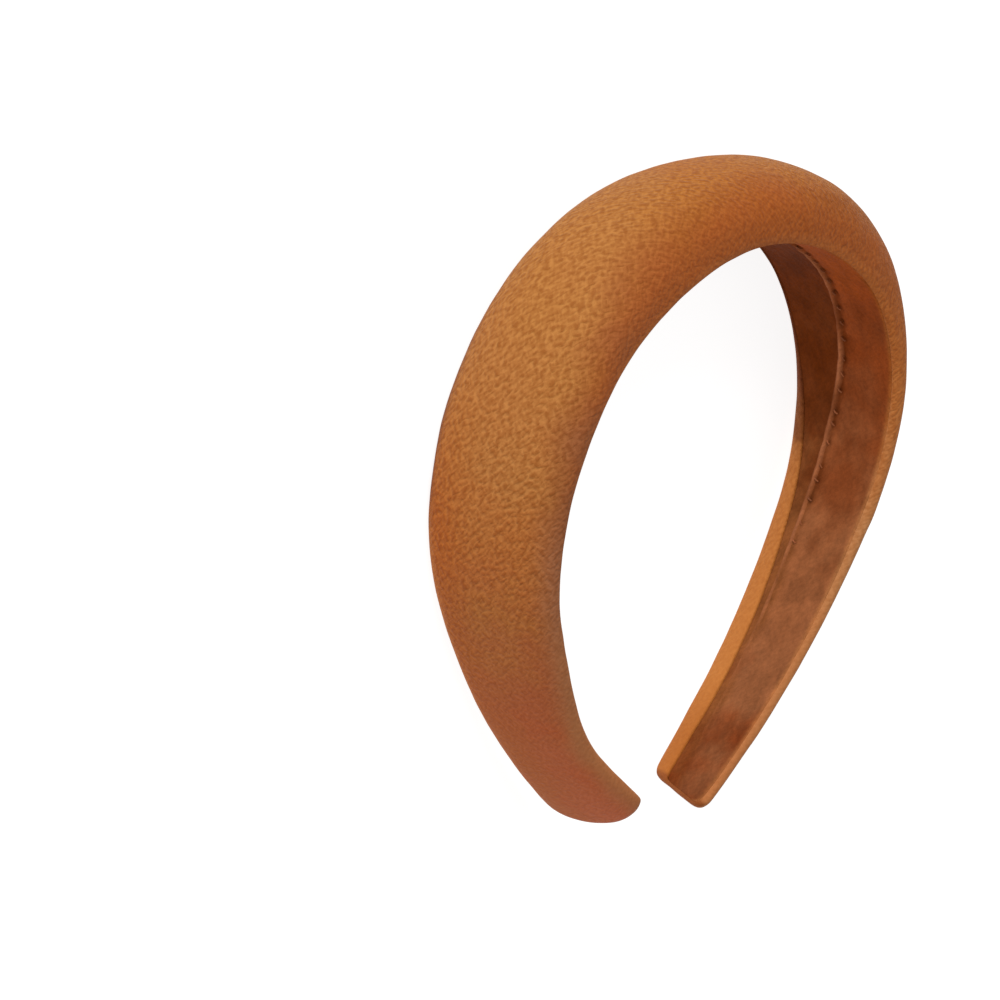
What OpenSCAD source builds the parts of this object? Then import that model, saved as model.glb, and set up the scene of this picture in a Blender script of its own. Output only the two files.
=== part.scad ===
// Padded velvet headband, lying on its back edge as it rests on a table.
// The hoop lies in the XY plane: crown towards +Y, open tips towards -Y, front edge up (+Z).
// Every section of the band is drawn in two directions: "across" the band (+ towards the front
// edge) and "out" from the head, measured from the inner line of the hoop.

/* [Hoop] */
// Radius of the inner line over the crown
crown_r = 80; // [60:1:100]
// Turn of the crown arc from the middle of the crown, in degrees
crown_turn = 32.5; // [14:0.5:36]
// Radius of the inner line at the sides of the head
side_r = 54.5; // [46:0.5:68]
// Turn of the side arc, in degrees
side_turn = 82.5; // [66:0.5:90]
// Radius of the inner line along the lower legs
leg_r = 160; // [110:5:400]
// Turn of the leg arc, in degrees
leg_turn = 28; // [12:1:32]
// Outward lean of the legs' back edges, in degrees
leg_flare = 12; // [0:0.5:14]

/* [Padded cover] */
// Width of the band over the crown
crown_w = 35.5; // [28:0.5:50]
// Width of the band at the tips
tip_w = 22; // [16:0.5:26]
// Thickness of the padding over the crown
crown_t = 16; // [9:0.5:24]
// Thickness of the band at the tips
tip_t = 4.5; // [3.5:0.5:7]
// Rounding of the tips' corners
tip_corner = 4; // [2:0.5:7]
// Fullness of the dome: 1 is an ellipse, less is squarer
dome_shape = 0.85; // [0.7:0.05:1.2]

/* [Inner facing] */
// Thickness of the facing
facing_t = 1.2; // [0.8:0.1:2]
// Depth of the facing's face below the rolled edges
facing_sink = 0.4; // [0.2:0.1:1]
// Distance from the facing's end to the end of the tip
facing_end = 2; // [1.5:0.5:8]
// Gap between pieces that lie on each other
seat_gap = 0.25; // [0.15:0.05:0.4]

/* [Seam] */
// Width of the raised seam
seam_w = 2.4; // [1.5:0.1:4]
// Height of the raised seam above the facing
seam_h = 1; // [0.6:0.1:2]
// Distance from the seam's end to the end of the tip
seam_end = 16; // [8:1:40]

/* [Hidden] */

// Sections of one half of the band, evenly spaced from the crown to the tip.
// width, thick: share between the tip's size (0) and the crown's (1)
// back, front: distance of each crease from the middle, as a share of the band's half width
// roll: height of the widest line as a share of the thickness
// seam: place of the seam between the creases, -1 at the back one to 1 at the front one
WIDTH = 0;
THICK = 1;
BACK = 2;
FRONT = 3;
ROLL = 4;
SEAM = 5;
SECTIONS = [
    [1.00, 1.00, 0.93, 0.93, 0.20, 0.00],
    [1.05, 1.08, 0.95, 0.95, 0.20, 0.10],
    [1.04, 0.42, 0.90, 0.90, 0.22, -0.03],
    [0.66, 0.12, 0.66, 0.88, 0.25, -0.59],
    [0.31, 0.03, 0.50, 0.90, 0.25, -0.72],
    [0.00, 0.00, 0.60, 0.90, 0.25, -0.43],
];
last_row = len(SECTIONS) - 1;

// Stations along one half of the band, and steps round the tip's corner
half_stations = 28;
corner_steps = 5;
// Steps of half a flat face, of a rolled edge and of half the dome
flat_steps = 2;
roll_steps = 3;
dome_steps = 8;
// Steps round the seam's half circle
seam_steps = 6;

// Lengths of the inner line's arcs, and of its half
crown_len = crown_r * crown_turn * PI / 180;
side_len = side_r * side_turn * PI / 180;
leg_len = leg_r * leg_turn * PI / 180;
half_len = crown_len + side_len + leg_len;
recess_t = facing_sink + facing_t + seat_gap;
facing_stop = half_len - facing_end;
seam_stop = half_len - seam_end;
// Share of the thickness that the tip's rounding takes off at its very end
tip_slope = 0.5;
// Depth of the fold that is left on the inside between the facing's end and the tip's end
end_recess = 0.2;
// Rounding of the facing's corners, and length over which the seam sinks at its ends
facing_corner = 2.5;
seam_fade = 55;
// Share of its height that the seam still has at its ends
seam_low = 0.4;

// Point [x, y] of an arc of radius r from a start point and heading, turned by an angle
function along_arc(start, heading, r, turn) = [
    start[0] + r * (sin(heading + turn) - sin(heading)),
    start[1] + r * (cos(heading + turn) - cos(heading)),
];
side_start = along_arc([0, 0], 0, crown_r, crown_turn);
leg_start = along_arc(side_start, crown_turn, side_r, side_turn);

// Heading of the inner line at distance d from the crown, in degrees below level
function heading_at(d) =
    d < crown_len ? d / crown_r * 180 / PI
    : d < crown_len + side_len ? crown_turn + (d - crown_len) / side_r * 180 / PI
    : crown_turn + side_turn + (d - crown_len - side_len) / leg_r * 180 / PI;

// Point [x, y] of the right half's inner line at distance d from the crown
function line_at(d) =
    d < crown_len ? along_arc([0, 0], 0, crown_r, heading_at(d))
    : d < crown_len + side_len ? along_arc(side_start, crown_turn, side_r, heading_at(d) - crown_turn)
    : along_arc(leg_start, crown_turn + side_turn, leg_r, heading_at(d) - crown_turn - side_turn);

// Value of one column at distance d, on a smooth curve through the rows, level at the crown
function row_value(i, column) =
    i < 0 ? SECTIONS[-i][column]
    : i > last_row ? 2 * SECTIONS[last_row][column] - SECTIONS[last_row - 1][column]
    : SECTIONS[i][column];
function curve_through(p, q, r, s, t) =
    (2 * q + (r - p) * t + (2 * p - 5 * q + 4 * r - s) * t ^ 2 + (3 * q - p - 3 * r + s) * t ^ 3) / 2;
function column_at(d, column) =
    let (place = d / half_len * last_row, i = min(floor(place), last_row - 1))
    curve_through(row_value(i - 1, column), row_value(i, column), row_value(i + 1, column),
        row_value(i + 2, column), place - i);

// How far a rounded corner of radius r cuts in at distance d, before an end
function corner_cut(d, end, r) =
    let (into = min(r, max(0, r - (end - d))))
    r - sqrt(r ^ 2 - into ^ 2);

// Half width and thickness of the band, and distances of the two creases from its middle
function half_w(d) =
    (tip_w + (crown_w - tip_w) * column_at(d, WIDTH)) / 2 - corner_cut(d, half_len, tip_corner);
function thickness(d) =
    (tip_t + (crown_t - tip_t) * column_at(d, THICK))
    * (1 - tip_slope * corner_cut(d, half_len, tip_corner) / tip_corner);
function crease_w(d, column) = half_w(d) * column_at(d, column);
function flare_at(d) = leg_flare * (1 - cos(180 * min(1, d / (crown_len + side_len)))) / 2;

// Point in space: side is 1 on the right half and -1 on the left
function in_space(d, side, across, out) =
    let (
        p = line_at(d),
        h = heading_at(d),
        f = flare_at(d),
        n = out * cos(f) - across * sin(f),
        w = across * cos(f) + out * sin(f)
    )
    [side * (p[0] + n * sin(h)), p[1] + n * cos(h), w];

// Points of a flat face from beside the mirror line to its edge, in strips of equal width
function flat_run(b, out) = [for (i = [0:flat_steps]) [b * (2 * i + 1) / (2 * flat_steps + 1), out]];

// Half sections from the floor of the inside to the middle of the outside, as [across, out]:
// column names the crease, so each serves for the front half and, mirrored, for the back one
function cover_half(d, column) =
    let (
        a = half_w(d),
        b = crease_w(d, column),
        t = thickness(d),
        widest = t * column_at(d, ROLL),
        floor_out = d > facing_stop + seat_gap ? end_recess : recess_t
    )
    concat(
        flat_run(b - seat_gap / 2, floor_out),
        [for (i = [0:roll_steps]) let (k = 90 * i / roll_steps)
            [b + (a - b) * sin(k), widest * (1 - cos(k))]],
        [for (i = [1:dome_steps]) let (k = 90 * i / dome_steps)
            [a * cos(k) ^ dome_shape, widest + (t - widest) * sin(k) ^ dome_shape]]
    );
function facing_half(d, column) =
    let (
        b = crease_w(d, column) - 2 * seat_gap - corner_cut(d, facing_stop, facing_corner),
        edge = facing_t / 3
    )
    concat(
        flat_run(b - edge, facing_sink),
        [[b, facing_sink + edge]],
        [for (i = [flat_steps:-1:0]) flat_run(b, facing_sink + facing_t)[i]]
    );
// Half circle of the seam, lower towards its ends, from its back foot to its front foot
function seam_ring(d) =
    let (
        back = crease_w(d, BACK),
        front = crease_w(d, FRONT),
        middle = (front - back + column_at(d, SEAM) * (front + back)) / 2,
        foot = facing_sink - seat_gap,
        run = min(1, (seam_stop - d) / seam_fade),
        height = (seam_h - seat_gap) * (seam_low + (1 - seam_low) * run * (2 - run))
    )
    [for (i = [0:seam_steps]) let (k = 180 * i / seam_steps)
        [middle - seam_w / 2 * cos(k), foot - height * sin(k)]];

// Whole rings: the front half, then the back half mirrored, without a point on the mirror line
function whole_ring(front, back) =
    concat(front, [for (i = [len(back) - 1:-1:0]) if (back[i][0] > 0) [-back[i][0], back[i][1]]]);
function cover_ring(d) = whole_ring(cover_half(d, FRONT), cover_half(d, BACK));
function facing_ring(d) = whole_ring(facing_half(d, FRONT), facing_half(d, BACK));

// Distances of the stations of one half: even ones, then close ones round the end's corner
station_step = (half_len - tip_corner) / half_stations;
function even_stations(end) =
    [for (i = [0:half_stations]) let (d = station_step * i) if (d < end - seat_gap) d];
function stations(end, corner) = concat(
    even_stations(end - corner),
    [for (i = [0:corner_steps]) end - corner + corner * sin(90 * i / corner_steps)]
);
cover_stations = let (list = stations(half_len, tip_corner)) concat(
    [for (d = list) if (d < facing_stop - seat_gap) d],
    [facing_stop + seat_gap, facing_stop + 2 * seat_gap],
    [for (d = list) if (d > facing_stop + 3 * seat_gap) d]
);

// Stations from the left tip over the crown to the right tip, as [distance, side]
function both_sides(list) = concat(
    [for (i = [len(list) - 1:-1:1]) [list[i], -1]],
    [for (d = list) [d, 1]]
);
function place_ring(ring, station) = [for (p = ring) in_space(station[0], station[1], p[0], p[1])];

// How the band lies: it rests on its back edge, on the two stations on either side of its weight
function low_point(d) =
    let (ring = place_ring(cover_ring(d), [d, 1]), low = min([for (p = ring) p[2]]))
    [for (p = ring) if (p[2] == low) [p[1], p[2]]][0];
lows = [for (d = cover_stations) low_point(d)];
section_weights = [for (i = [1:len(cover_stations) - 1])
    let (d = cover_stations[i]) half_w(d) * thickness(d) * (d - cover_stations[i - 1])];
weight_y = section_weights * [for (i = [1:len(cover_stations) - 1]) line_at(cover_stations[i])[1]]
    / (section_weights * [for (w = section_weights) 1]);
rest_lines = [for (a = lows, b = lows) if (a[0] > weight_y && b[0] <= weight_y)
    let (slope = (a[1] - b[1]) / (a[0] - b[0])) [b[1] + slope * (weight_y - b[0]), slope]];
lowest_line = min([for (r = rest_lines) r[0]]);
rest_tilt = -atan([for (r = rest_lines) if (r[0] == lowest_line) r[1]][0]);

// Box of the cover once it is tilted, for the place of the origin under its middle
cover_points = [for (s = both_sides(cover_stations)) each place_ring(cover_ring(s[0]), s)];
tilted_y = [for (p = cover_points) p[1] * cos(rest_tilt) - p[2] * sin(rest_tilt)];
tilted_z = [for (p = cover_points) p[1] * sin(rest_tilt) + p[2] * cos(rest_tilt)];
middle_y = (min(tilted_y) + max(tilted_y)) / 2;
floor_z = min(tilted_z);

module lying() {
    translate([0, -middle_y, -floor_z]) rotate([rest_tilt, 0, 0]) children();
}

// Closed solid through equal rings, with flat ends. The faces of the left half mirror those of
// the right half
module skin(rings) {
    m = len(rings[0]);
    n = len(rings);
    last = (n - 1) * m;
    walls = [for (i = [0:n - 2], k = [0:m - 1])
        let (a = i * m + k, b = i * m + (k + 1) % m, c = a + m, e = b + m)
        each i < (n - 1) / 2 ? [[a, b, e], [a, e, c]] : [[a, b, c], [b, e, c]]];
    polyhedron(
        points = [for (ring = rings) each ring],
        faces = concat(walls, [[for (k = [m - 1:-1:0]) k], [for (k = [0:m - 1]) last + k]])
    );
}

module padded_cover() {
    color("peru") lying()
        skin([for (s = both_sides(cover_stations)) place_ring(cover_ring(s[0]), s)]);
}

module inner_facing() {
    list = stations(facing_stop, facing_corner);
    color("sienna") lying()
        skin([for (s = both_sides(list)) place_ring(facing_ring(s[0]), s)]);
}

module seam_welt() {
    list = concat(even_stations(seam_stop), [seam_stop]);
    color("chocolate") lying()
        skin([for (s = both_sides(list)) place_ring(seam_ring(s[0]), s)]);
}

padded_cover();
inner_facing();
seam_welt();
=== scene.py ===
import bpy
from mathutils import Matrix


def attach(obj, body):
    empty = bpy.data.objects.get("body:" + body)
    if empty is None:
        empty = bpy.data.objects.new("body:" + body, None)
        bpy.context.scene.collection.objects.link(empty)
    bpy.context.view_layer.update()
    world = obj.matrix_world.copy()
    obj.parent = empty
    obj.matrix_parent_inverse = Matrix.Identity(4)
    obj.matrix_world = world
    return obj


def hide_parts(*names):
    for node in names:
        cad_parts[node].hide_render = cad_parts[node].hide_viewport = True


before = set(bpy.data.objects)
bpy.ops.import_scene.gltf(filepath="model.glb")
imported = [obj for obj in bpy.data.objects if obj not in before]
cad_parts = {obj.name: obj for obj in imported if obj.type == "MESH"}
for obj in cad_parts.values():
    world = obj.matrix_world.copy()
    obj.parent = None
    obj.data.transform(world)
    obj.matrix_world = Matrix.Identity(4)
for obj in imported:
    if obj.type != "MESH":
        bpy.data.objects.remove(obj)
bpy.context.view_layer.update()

import math

import bpy
import numpy as np
from mathutils import Matrix, Vector, noise

# Padded velvet headband on its back edge: crown towards +Y, tips towards -Y, front edge up.
# Sizes are millimetres and degrees until a mesh is made, and follow the part's own sizes.
MM = 0.001
CROWN_R, CROWN_TURN = 80.0, 32.5
SIDE_R, SIDE_TURN = 54.5, 82.5
LEG_R, LEG_TURN = 160.0, 28.0
LEG_FLARE = 12.0
CROWN_W, TIP_W = 35.5, 22.0
CROWN_T, TIP_T = 16.0, 4.5
TIP_CORNER = 4.0
DOME_SHAPE = 0.85
FACING_T, FACING_SINK = 1.2, 0.4
SEAT_GAP = 0.25
SEAM_H, SEAM_END = 1.0, 16.0
FACING_CORNER = 1.2
TIP_SLOPE = 0.5
RECESS_T = FACING_SINK + FACING_T + SEAT_GAP

# One row for each of six even places from the crown to the tip, as in the part's own table
COLUMNS = ("width", "thick", "back", "front", "roll", "seam")
SECTIONS = np.array([
    [1.00, 1.00, 0.93, 0.93, 0.20, 0.00],
    [1.05, 1.08, 0.95, 0.95, 0.20, 0.10],
    [1.04, 0.42, 0.90, 0.90, 0.22, -0.03],
    [0.66, 0.12, 0.66, 0.88, 0.25, -0.59],
    [0.31, 0.03, 0.50, 0.90, 0.25, -0.72],
    [0.00, 0.00, 0.60, 0.90, 0.25, -0.43],
])

CROWN_LEN = CROWN_R * math.radians(CROWN_TURN)
SIDE_LEN = SIDE_R * math.radians(SIDE_TURN)
LEG_LEN = LEG_R * math.radians(LEG_TURN)
HALF_LEN = CROWN_LEN + SIDE_LEN + LEG_LEN
SEAM_STOP = HALF_LEN - SEAM_END

# The photograph's viewpoint: angles in degrees, distance in mm, then the place in its
# 1000 pixels of the box's middle and the pixels to a millimetre there
VIEW = dict(azimuth=55.8, elevation=17.1, roll=6.55, distance=1255.0,
            middle_px=675.7, middle_py=493.8, px_per_mm=4.24)
FRAME_PX = 1000.0
SENSOR_MM = 36.0

# How finely the band is measured before it is laid down
TINY = 1e-9
DOME_POINTS, WEIGH_STEPS, BODY_STEPS = 25, 320, 160
CORNER_TURNS = (18, 36, 54, 72, 90)


# The band's shape

def inner_line(d):
    """Place and heading of the right half's inner line at the distances d from the crown."""
    d = np.asarray(d, float)
    x, y, heading = np.zeros_like(d), np.zeros_like(d), np.zeros_like(d)
    at, so_far, done = np.zeros(2), 0.0, 0.0
    for radius, turn in ((CROWN_R, CROWN_TURN), (SIDE_R, SIDE_TURN), (LEG_R, LEG_TURN)):
        turn = math.radians(turn)
        on = d >= done - TINY
        last = radius == LEG_R
        w = np.clip(d[on] - done, 0, None if last else radius * turn) / radius
        x[on] = at[0] + radius * (np.sin(so_far + w) - math.sin(so_far))
        y[on] = at[1] + radius * (np.cos(so_far + w) - math.cos(so_far))
        heading[on] = so_far + w
        at = at + radius * np.array([math.sin(so_far + turn) - math.sin(so_far),
                                     math.cos(so_far + turn) - math.cos(so_far)])
        so_far, done = so_far + turn, done + radius * turn
    return x, y, heading


def column(d, name):
    """A column's value at the distances d, on a smooth curve through the rows."""
    v = SECTIONS[:, COLUMNS.index(name)]
    last = len(v) - 1
    e = np.concatenate([[v[1]], v, [2 * v[-1] - v[-2]]])
    row = np.clip(np.asarray(d, float) / HALF_LEN * last, 0, last - TINY)
    i = row.astype(int)
    t = row - i
    p, q, r, s = e[i], e[i + 1], e[i + 2], e[i + 3]
    return (2 * q + (r - p) * t + (2 * p - 5 * q + 4 * r - s) * t ** 2
            + (3 * q - p - 3 * r + s) * t ** 3) / 2


def corner_cut(d, end, r):
    """How far a corner of radius r has cut into the edge at the distances d before its end."""
    into = np.clip(r - (end - np.asarray(d, float)), 0, r)
    return r - np.sqrt(r ** 2 - into ** 2)


def half_w(d):
    """From the band's middle to its edge."""
    return (TIP_W + (CROWN_W - TIP_W) * column(d, "width")) / 2 - corner_cut(d, HALF_LEN, TIP_CORNER)


def thickness(d):
    """From the inner line to the dome's top."""
    cut = corner_cut(d, HALF_LEN, TIP_CORNER)
    return (TIP_T + (CROWN_T - TIP_T) * column(d, "thick")) * (1 - TIP_SLOPE * cut / TIP_CORNER)


def crease_w(d, side):
    """From the band's middle to its front or back crease."""
    return half_w(d) * column(d, side)


def in_space(d, side, across, out):
    """Points of the band before it is laid down, one for each value of the arrays given."""
    x, y, heading = inner_line(d)
    share = np.minimum(1, np.asarray(d, float) / (CROWN_LEN + SIDE_LEN))
    flare = math.radians(LEG_FLARE) * (1 - np.cos(math.pi * share)) / 2
    n = out * np.cos(flare) - across * np.sin(flare)
    w = across * np.cos(flare) + out * np.sin(flare)
    return np.stack([side * (x + n * np.sin(heading)), y + n * np.cos(heading), w], -1)


def plain_section(d):
    """Half of the dome's outline at the distances d: across, and out from the inner line."""
    d = np.asarray(d, float)[:, None]
    a, t, low = half_w(d), thickness(d), thickness(d) * column(d, "roll")
    k = np.radians(np.linspace(0, 90, DOME_POINTS))[None]
    return a * np.cos(k) ** DOME_SHAPE, low + (t - low) * np.sin(k) ** DOME_SHAPE


def resting():
    """Turn about X, in radians, that lays the band on its back edge as its own weight does."""
    d = np.linspace(0, HALF_LEN, WEIGH_STEPS)
    across, out = plain_section(d)
    one = np.ones_like(across)
    p = in_space(d[:, None] * one, one, -across, out)
    low = p[..., 2].argmin(1)
    y, z = p[np.arange(len(d)), low, 1], p[np.arange(len(d)), low, 2]
    weight = half_w(d) * thickness(d)
    middle = (weight * inner_line(d)[1]).sum() / weight.sum()
    best = None
    for i in np.flatnonzero(y > middle):
        for j in np.flatnonzero(y <= middle):
            slope = (z[i] - z[j]) / (y[i] - y[j])
            height = z[j] + slope * (middle - y[j])
            if best is None or height < best[0]:
                best = (height, slope)
    return -math.atan(best[1])


TILT = resting()


def turned(p):
    """Points or directions turned to lie as the band rests."""
    c, s = math.cos(TILT), math.sin(TILT)
    return np.stack([p[..., 0], p[..., 1] * c - p[..., 2] * s, p[..., 1] * s + p[..., 2] * c], -1)


def laid(p):
    """Points in metres in the part's frame."""
    q = turned(p)
    q[..., 1] -= MIDDLE_Y
    q[..., 2] -= FLOOR_Z
    return q * MM


def whole_body():
    """Points over the whole dome, left and right, before the band is laid down."""
    turns = np.radians(CORNER_TURNS)
    d = np.concatenate([np.linspace(0, HALF_LEN - TIP_CORNER, BODY_STEPS),
                        HALF_LEN - TIP_CORNER + TIP_CORNER * np.sin(turns)])
    across, out = plain_section(d)
    one = np.ones_like(across)
    p = np.concatenate([in_space(d[:, None] * one, one, s * across, out) for s in (-1, 1)])
    return p.reshape(-1, 3)


BODY = whole_body()
LAID_BODY = turned(BODY)
MIDDLE_Y = (LAID_BODY[:, 1].min() + LAID_BODY[:, 1].max()) / 2
FLOOR_Z = LAID_BODY[:, 2].min()


# Meshes

# an even step that ends closer than this share of it to a corner is left out
SHORT_STEP = 0.4
# how far apart two seeds lie in the noise
SEED_SHIFT = (7.31, 3.17, 5.53)


def stations(end, corner, step, close=6):
    """Distances from the crown to an end, in even steps and closer together round its corner."""
    even = np.arange(0, end - corner - step * SHORT_STEP, step)
    turns = np.radians(np.linspace(0, 90, close))
    return np.concatenate([even, end - corner + corner * np.sin(turns)])


def both_sides(d):
    """Distances from the left tip over the crown to the right one, with -1 or 1 for the side."""
    return np.concatenate([d[:0:-1], d]), np.concatenate([-np.ones(len(d) - 1), np.ones(len(d))])


def new_object(name, data):
    obj = bpy.data.objects.new(name, data)
    bpy.context.scene.collection.objects.link(obj)
    return obj


def plain_mesh(obj):
    """The object's shape with its modifiers done, as a mesh of its own."""
    return bpy.data.meshes.new_from_object(obj.evaluated_get(bpy.context.evaluated_depsgraph_get()))


def smooth_shaded(mesh):
    for f in mesh.polygons:
        f.use_smooth = True


def grid_mesh(name, rings, along, girth):
    """Closed object through equal rings, its ends filled by strips. Its map holds along and girth,
    in metres. Its faces point inwards until the finished piece's are flipped."""
    n, m = rings.shape[:2]
    faces, uvs = [], []
    v = np.concatenate([girth, girth[:, :1] + 2 * girth[:, -1:] - girth[:, -2:-1]], 1)
    for i in range(n - 1):
        for k in range(m):
            k2 = (k + 1) % m
            faces.append((i * m + k, i * m + k2, (i + 1) * m + k2, (i + 1) * m + k))
            uvs.append(((along[i], v[i, k]), (along[i], v[i, k + 1]),
                        (along[i + 1], v[i + 1, k + 1]), (along[i + 1], v[i + 1, k])))
    for base, i, flip in ((0, 0, True), ((n - 1) * m, n - 1, False)):
        for k in range((m - 1) // 2):
            ring = [k, k + 1, m - k - 2, m - k - 1]
            if ring[1] == ring[2]:
                ring.pop(2)
            if flip:
                ring = ring[::-1]
            faces.append(tuple(base + r for r in ring))
            uvs.append(tuple((along[i], v[i, r]) for r in ring))
    mesh = bpy.data.meshes.new(name)
    mesh.from_pydata(rings.reshape(-1, 3).tolist(), [], faces)
    layer = mesh.uv_layers.new(name="band")
    layer.data.foreach_set("uv", np.array([c for f in uvs for c in f]).ravel())
    smooth_shaded(mesh)
    mesh.validate()
    mesh.update()
    return new_object(name, mesh)


def vectors_of(mesh, what):
    """A row for each point of a mesh: its place for "co", its normal for "normal"."""
    v = np.zeros(len(mesh.vertices) * 3)
    mesh.vertices.foreach_get(what, v)
    return v.reshape(-1, 3)


def set_points(mesh, co):
    mesh.vertices.foreach_set("co", np.asarray(co, float).ravel())
    mesh.update()


def add_point_values(mesh, name, values):
    layer = mesh.attributes.new(name, "FLOAT", "POINT")
    layer.data.foreach_set("value", np.asarray(values, np.float32).ravel())


def unevenness(points, scale, seed):
    """Smooth noise between about -1 and 1 at each point, features of about 1/scale metres."""
    shift = Vector([seed * c for c in SEED_SHIFT])
    return np.array([noise.noise(Vector(p) * scale + shift) for p in points])


def waves(points, rows):
    """Unevennesses added up, with a height, a scale and a seed in each row."""
    return sum(height * unevenness(points, scale, seed) for height, scale, seed in rows)


# The cover as it is sewn: under the facing, up the crease, round the rolled edge, over the dome
ROLL_TURNS = (30, 50, 70, 90)
DOME_STEPS = 11
END_ROUND, END_TURNS, END_SPARE = 1.1, (0, 30, 60, 90), 0.2
THIN_END = 0.12
FOLD_W, FOLD_T, FOLD_SHARE = 0.55, 0.05, 0.3
CREASE_POINTS = 5
# the recess under the facing: its floor's first point, its wall, the lip above it, and its end
FLOOR_SHARE = 0.4
WALL_FOOT, WALL_TOP, WALL_TOP_T = 0.1, 0.06, 0.9
LIP_SHARE, LIP_T = 0.1, 0.3
RECESS_END, RECESS_END_T = 1.2, 0.25
FACING_BORDER = 0.8
FACING_LAST = HALF_LEN - FACING_BORDER
# the tips: a gathered bulge, and how the hoop's twist bends each of them
TIP_BULGE, BULGE_BACK, BULGE_LEN = 0.45, 4.0, 6.0
END_LEN, ACROSS_MOST = 45.0, 1.1
RIGHT_END, LEFT_END = (0.9, 3.6, 0.6), (-2.1, -3.5, -5.4)
LEFT_LEAN, LEAN_LEN, LEAN_FULL = 4.6, 39.0, 3.0
LEFT_WAIST, WAIST_AT, WAIST_REACH = 1.15, 44.0, 16.0
RIGHT_NIP, NIP_LEN = 1.4, 16.0
CREASE_IN, CREASE_IN_LEN, CREASE_IN_POWER = 0.8, 40.0, 0.7
CREASE_AT, CREASE_REACH = 6.0, 3.5


def sewn_w(d):
    """Half width as sewn: the gathered cloth bulges a little at the tip."""
    past = HALF_LEN - BULGE_BACK - np.asarray(d, float)
    return half_w(d) + TIP_BULGE * np.exp(-(past / BULGE_LEN) ** 2)


def laid_sheet(d, side, across, out):
    """Laid points for a grid of rings, one value of d and side for each ring. The ends are not
    quite square, because the springy hoop is twisted: each reaches on by a middle length, a
    slope and a bow across its width, the left tip leans forward and the right one is nipped in."""
    d, side = d[:, None], side[:, None]
    left_over = HALF_LEN - d
    ramp = np.clip(1 - left_over / END_LEN, 0, 1) ** 2
    a = np.clip(across / (TIP_W / 2), -ACROSS_MOST, ACROSS_MOST)
    right, left = (c[0] + c[1] * a + c[2] * a ** 2 for c in (RIGHT_END, LEFT_END))
    near = np.clip((LEAN_LEN - left_over) / (LEAN_LEN - LEAN_FULL), 0, 1)
    waist = LEFT_WAIST * np.exp(-((left_over - WAIST_AT) / WAIST_REACH) ** 2)
    forward = (LEFT_LEAN * near ** 2 * (3 - 2 * near) - waist) * np.clip(0.5 + across / TIP_W, 0, 1)
    nip = RIGHT_NIP * np.clip(1 - left_over / NIP_LEN, 0, 1) * np.clip(0.5 - across / TIP_W, 0, 1)
    share = np.clip(1 - left_over / CREASE_IN_LEN, 0, 1) ** CREASE_IN_POWER
    nip = nip + CREASE_IN * share * np.exp(-((across + CREASE_AT) / CREASE_REACH) ** 2)
    return laid(in_space(d + ramp * np.where(side > 0, right, left), side + 0 * across,
                         across + np.where(side > 0, nip, forward), out))


def sewn_half(d, side):
    """Rings of the cover's front or back half, from the recess to the dome's top."""
    a, b, t = sewn_w(d), crease_w(d, side), thickness(d)
    low = t * column(d, "roll")
    fold = np.minimum(FOLD_W, FOLD_SHARE * (a - b))
    deep = np.where(d > HALF_LEN - RECESS_END, RECESS_END_T, RECESS_T)
    pts = [((b - WALL_FOOT) * FLOOR_SHARE, deep), (b - WALL_FOOT, deep),
           (b - WALL_TOP, np.minimum(deep, WALL_TOP_T)),
           (b + fold * LIP_SHARE, np.minimum(deep, LIP_T)), (b + fold, FOLD_T)]
    for turn in np.radians(ROLL_TURNS):
        pts.append((b + (a - b) * math.sin(turn), low * (1 - math.cos(turn))))
    for i in range(1, DOME_STEPS + 1):
        k = math.pi / 2 * i / DOME_STEPS
        pts.append((a * max(0.0, math.cos(k)) ** DOME_SHAPE, low + (t - low) * math.sin(k) ** DOME_SHAPE))
    across = np.stack([p[0] for p in pts], -1)
    out = np.stack([p[1] + 0 * d for p in pts], -1)
    # the tip's edges are rounded all the way to its end
    cut = corner_cut(d, HALF_LEN, END_ROUND)[:, None]
    t = t[:, None]
    across = across * (1 - cut / a[:, None])
    out = t / 2 + (out - t / 2) * np.maximum(THIN_END, 1 - 2 * cut / t)
    return across, out


def sewn_rings(step):
    """The cover's rings, and for each its place along the band, the girth of its points and its
    distance from the crown."""
    d = stations(HALF_LEN, TIP_CORNER, step)
    last = HALF_LEN - END_ROUND + END_ROUND * np.sin(np.radians(END_TURNS))
    d = np.concatenate([d[d < HALF_LEN - END_ROUND - END_SPARE], last])
    front_across, front_out = sewn_half(d, "front")
    back_across, back_out = sewn_half(d, "back")
    across = np.concatenate([front_across, -back_across[:, -2::-1]], 1)
    out = np.concatenate([front_out, back_out[:, -2::-1]], 1)
    dd, side = both_sides(d)
    pick = np.concatenate([np.arange(len(d))[:0:-1], np.arange(len(d))])
    across, out = across[pick], out[pick]
    steps = np.hypot(np.diff(across, axis=1), np.diff(out, axis=1))
    girth = np.concatenate([np.zeros((len(dd), 1)), np.cumsum(steps, 1)], 1)
    top = across.shape[1] // 2
    girth = (girth - girth[:, top:top + 1]) * MM
    return laid_sheet(dd, side, across, out), dd * side * MM, girth, dd


# The padded cover

# The cloth starts loose, SIM_LOOSE metres outside the padded form. Its faces point inwards, so
# the pressure draws it tight. Then a share of the unevenness that it has is used.
CLOTH = dict(quality=6, mass=0.006, tension_stiffness=60, compression_stiffness=60,
             shear_stiffness=20, bending_stiffness=2, shrink_min=-0.02,
             use_pressure=True, uniform_pressure_force=8)
SIM_STEP, SIM_FRAMES = 3.4, 20
SIM_LOOSE = 0.0007
SIM_STOP, SIM_FADE = 5.0, 12.0
SIM_EVEN, SIM_GAIN, SIM_CAP = 4, 0.3, 0.00045
CALM_ALONG, CALM_SHARE = (0.5, 0.68), (1.0, 0.2)
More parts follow.
